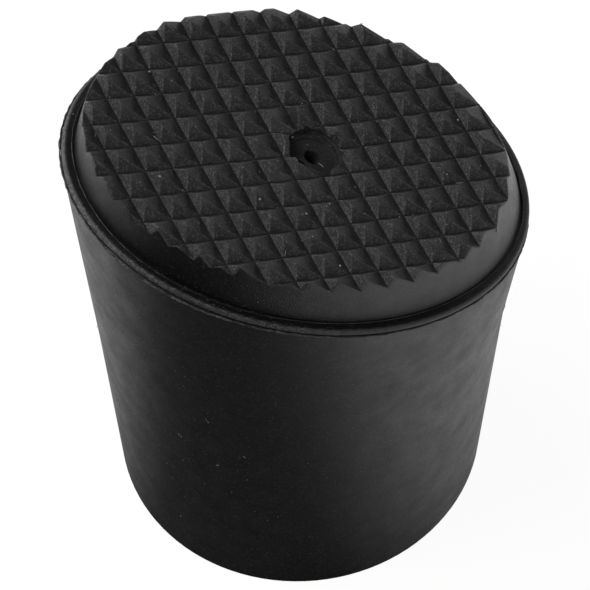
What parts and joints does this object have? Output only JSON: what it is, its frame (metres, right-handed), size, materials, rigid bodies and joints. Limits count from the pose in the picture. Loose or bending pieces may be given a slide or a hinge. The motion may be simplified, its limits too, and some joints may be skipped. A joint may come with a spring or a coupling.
{
  "type": "angled push-on foot",
  "caption": "Moulded push-on foot for a splayed tube leg: round blind socket, flared oval rim and a tilted, studded sole.",
  "frame": {"origin": "centre of the socket's mouth, on the axis of the socket", "axes": "+Z along the socket from its mouth to the sole, +X towards the side where the tilted sole is lowest; the foot is modelled sole up, standing on its mouth"},
  "size_m": [0.0376, 0.0326, 0.0497],
  "materials": {
    "foot": "matte black, slightly grainy moulded skin"
  },
  "bodies": {
    "root": {"foot": "foot"}
  },
  "joints": []
}
